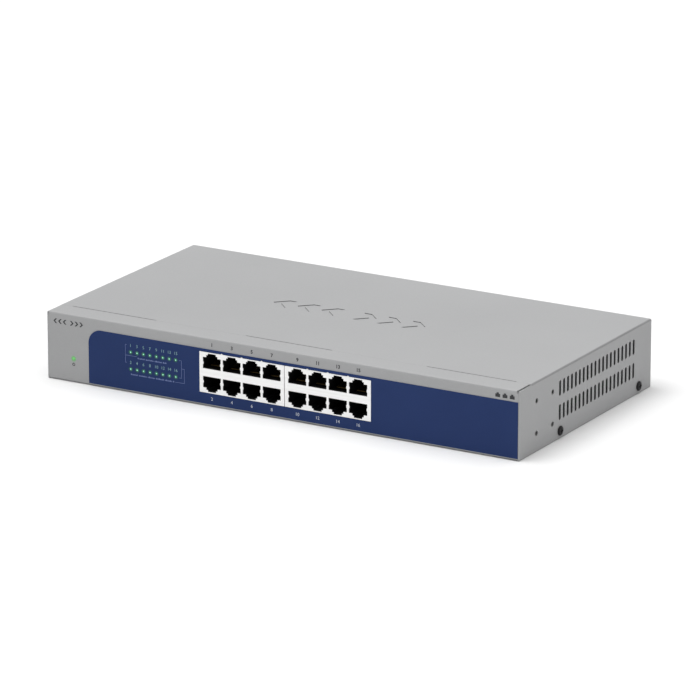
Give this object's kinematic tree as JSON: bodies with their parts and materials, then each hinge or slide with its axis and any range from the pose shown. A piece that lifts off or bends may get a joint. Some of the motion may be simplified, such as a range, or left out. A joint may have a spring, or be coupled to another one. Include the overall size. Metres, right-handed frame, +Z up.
{
  "type": "desktop network switch",
  "caption": "Flat steel network switch: folded chassis, lift-off vented cover, two rows of shielded sprung-contact jacks, status lights, mains inlet.",
  "frame": {"origin": "middle of the whole object, on the surface that its feet stand on", "axes": "+X right seen from the front, -Y out of the jack side, +Z up"},
  "size_m": [0.3306, 0.1708, 0.0433],
  "materials": {
    "grey_paint": "satin powder coat",
    "blue_print": "satin printed film",
    "black_plastic": "moulded",
    "shield_metal": "bright tin plate",
    "black_screw": "black oxide",
    "zinc_steel": "zinc plated",
    "foot_rubber": "matt",
    "board_green": "solder resist",
    "contact_gold": "gold plated",
    "light_pipe": "clear, lit green",
    "chip_plastic": "moulded",
    "sink_aluminium": "extruded",
    "insulator_film": "satin film",
    "winding_tape": "polyester tape",
    "capacitor_sleeve": "shrunk sleeve",
    "choke_ferrite": "moulded",
    "lead_brown": "pvc",
    "lead_blue": "pvc",
    "lead_green": "pvc",
    "lead_red": "pvc"
  },
  "bodies": {
    "chassis": {"chassis_base": "grey_paint", "rubber_foot_left_front": "foot_rubber", "rubber_foot_left_rear": "foot_rubber", "rubber_foot_right_front": "foot_rubber", "rubber_foot_right_rear": "foot_rubber", "front_film": "blue_print", "status_light_pipes": "light_pipe", "power_light_pipe": "light_pipe", "jack_housing_left": "black_plastic", "jack_shield_left": "shield_metal", "jack_housing_right": "black_plastic", "jack_shield_right": "shield_metal", "main_board": "board_green", "power_board": "board_green", "main_board_screw_left_front": "zinc_steel", "main_board_screw_right_front": "zinc_steel", "main_board_screw_left_rear": "zinc_steel", "main_board_screw_right_rear": "zinc_steel", "power_board_screw_left": "zinc_steel", "power_board_screw_right": "zinc_steel", "switch_chip": "chip_plastic", "chip_heat_sink": "sink_aluminium", "power_transformer": "winding_tape", "bulk_capacitor": "capacitor_sleeve", "power_heat_sink": "sink_aluminium", "mains_choke": "choke_ferrite", "insulator_sheet": "insulator_film", "mains_inlet": "black_plastic", "inlet_pin_line": "shield_metal", "inlet_pin_neutral": "shield_metal", "inlet_pin_earth": "shield_metal", "line_lead": "lead_brown", "neutral_lead": "lead_blue", "earth_lead": "lead_green", "dc_harness": "lead_red"},
    "cover": {"top_cover": "grey_paint", "cover_screw_left_front": "black_screw", "captive_nut_left_front": "zinc_steel", "cover_screw_left_rear": "black_screw", "captive_nut_left_rear": "zinc_steel", "cover_screw_right_front": "black_screw", "captive_nut_right_front": "zinc_steel", "cover_screw_right_rear": "black_screw", "captive_nut_right_rear": "zinc_steel"},
    "port_01_contacts": {"port_01_contacts": "contact_gold"},
    "port_02_contacts": {"port_02_contacts": "contact_gold"},
    "port_03_contacts": {"port_03_contacts": "contact_gold"},
    "port_04_contacts": {"port_04_contacts": "contact_gold"},
    "port_05_contacts": {"port_05_contacts": "contact_gold"},
    "port_06_contacts": {"port_06_contacts": "contact_gold"},
    "port_07_contacts": {"port_07_contacts": "contact_gold"},
    "port_08_contacts": {"port_08_contacts": "contact_gold"},
    "port_09_contacts": {"port_09_contacts": "contact_gold"},
    "port_10_contacts": {"port_10_contacts": "contact_gold"},
    "port_11_contacts": {"port_11_contacts": "contact_gold"},
    "port_12_contacts": {"port_12_contacts": "contact_gold"},
    "port_13_contacts": {"port_13_contacts": "contact_gold"},
    "port_14_contacts": {"port_14_contacts": "contact_gold"},
    "port_15_contacts": {"port_15_contacts": "contact_gold"},
    "port_16_contacts": {"port_16_contacts": "contact_gold"}
  },
  "joints": [
    {"name": "cover_lift", "type": "slide", "parent": "chassis", "child": "cover", "axis": [0, 0, 1], "range_m": [0, 0.06]},
    {"name": "port_01_press", "type": "hinge", "parent": "chassis", "child": "port_01_contacts", "pos_m": [-0.046, -0.0796, 0.02475], "axis": [-1, 0, 0], "range_deg": [0, 10], "stiffness_Nm_per_rad": 0.2},
    {"name": "port_02_press", "type": "hinge", "parent": "chassis", "child": "port_02_contacts", "pos_m": [-0.046, -0.0796, 0.01795], "axis": [1, 0, 0], "range_deg": [0, 10], "stiffness_Nm_per_rad": 0.2},
    {"name": "port_03_press", "type": "hinge", "parent": "chassis", "child": "port_03_contacts", "pos_m": [-0.03204, -0.0796, 0.02475], "axis": [-1, 0, 0], "range_deg": [0, 10], "stiffness_Nm_per_rad": 0.2},
    {"name": "port_04_press", "type": "hinge", "parent": "chassis", "child": "port_04_contacts", "pos_m": [-0.03204, -0.0796, 0.01795], "axis": [1, 0, 0], "range_deg": [0, 10], "stiffness_Nm_per_rad": 0.2},
    {"name": "port_05_press", "type": "hinge", "parent": "chassis", "child": "port_05_contacts", "pos_m": [-0.01807, -0.0796, 0.02475], "axis": [-1, 0, 0], "range_deg": [0, 10], "stiffness_Nm_per_rad": 0.2},
    {"name": "port_06_press", "type": "hinge", "parent": "chassis", "child": "port_06_contacts", "pos_m": [-0.01807, -0.0796, 0.01795], "axis": [1, 0, 0], "range_deg": [0, 10], "stiffness_Nm_per_rad": 0.2},
    {"name": "port_07_press", "type": "hinge", "parent": "chassis", "child": "port_07_contacts", "pos_m": [-0.00409, -0.0796, 0.02475], "axis": [-1, 0, 0], "range_deg": [0, 10], "stiffness_Nm_per_rad": 0.2},
    {"name": "port_08_press", "type": "hinge", "parent": "chassis", "child": "port_08_contacts", "pos_m": [-0.00409, -0.0796, 0.01795], "axis": [1, 0, 0], "range_deg": [0, 10], "stiffness_Nm_per_rad": 0.2},
    {"name": "port_09_press", "type": "hinge", "parent": "chassis", "child": "port_09_contacts", "pos_m": [0.0137, -0.0796, 0.02475], "axis": [-1, 0, 0], "range_deg": [0, 10], "stiffness_Nm_per_rad": 0.2},
    {"name": "port_10_press", "type": "hinge", "parent": "chassis", "child": "port_10_contacts", "pos_m": [0.0137, -0.0796, 0.01795], "axis": [1, 0, 0], "range_deg": [0, 10], "stiffness_Nm_per_rad": 0.2},
    {"name": "port_11_press", "type": "hinge", "parent": "chassis", "child": "port_11_contacts", "pos_m": [0.02766, -0.0796, 0.02475], "axis": [-1, 0, 0], "range_deg": [0, 10], "stiffness_Nm_per_rad": 0.2},
    {"name": "port_12_press", "type": "hinge", "parent": "chassis", "child": "port_12_contacts", "pos_m": [0.02766, -0.0796, 0.01795], "axis": [1, 0, 0], "range_deg": [0, 10], "stiffness_Nm_per_rad": 0.2},
    {"name": "port_13_press", "type": "hinge", "parent": "chassis", "child": "port_13_contacts", "pos_m": [0.04163, -0.0796, 0.02475], "axis": [-1, 0, 0], "range_deg": [0, 10], "stiffness_Nm_per_rad": 0.2},
    {"name": "port_14_press", "type": "hinge", "parent": "chassis", "child": "port_14_contacts", "pos_m": [0.04163, -0.0796, 0.01795], "axis": [1, 0, 0], "range_deg": [0, 10], "stiffness_Nm_per_rad": 0.2},
    {"name": "port_15_press", "type": "hinge", "parent": "chassis", "child": "port_15_contacts", "pos_m": [0.05561, -0.0796, 0.02475], "axis": [-1, 0, 0], "range_deg": [0, 10], "stiffness_Nm_per_rad": 0.2},
    {"name": "port_16_press", "type": "hinge", "parent": "chassis", "child": "port_16_contacts", "pos_m": [0.05561, -0.0796, 0.01795], "axis": [1, 0, 0], "range_deg": [0, 10], "stiffness_Nm_per_rad": 0.2}
  ]
}
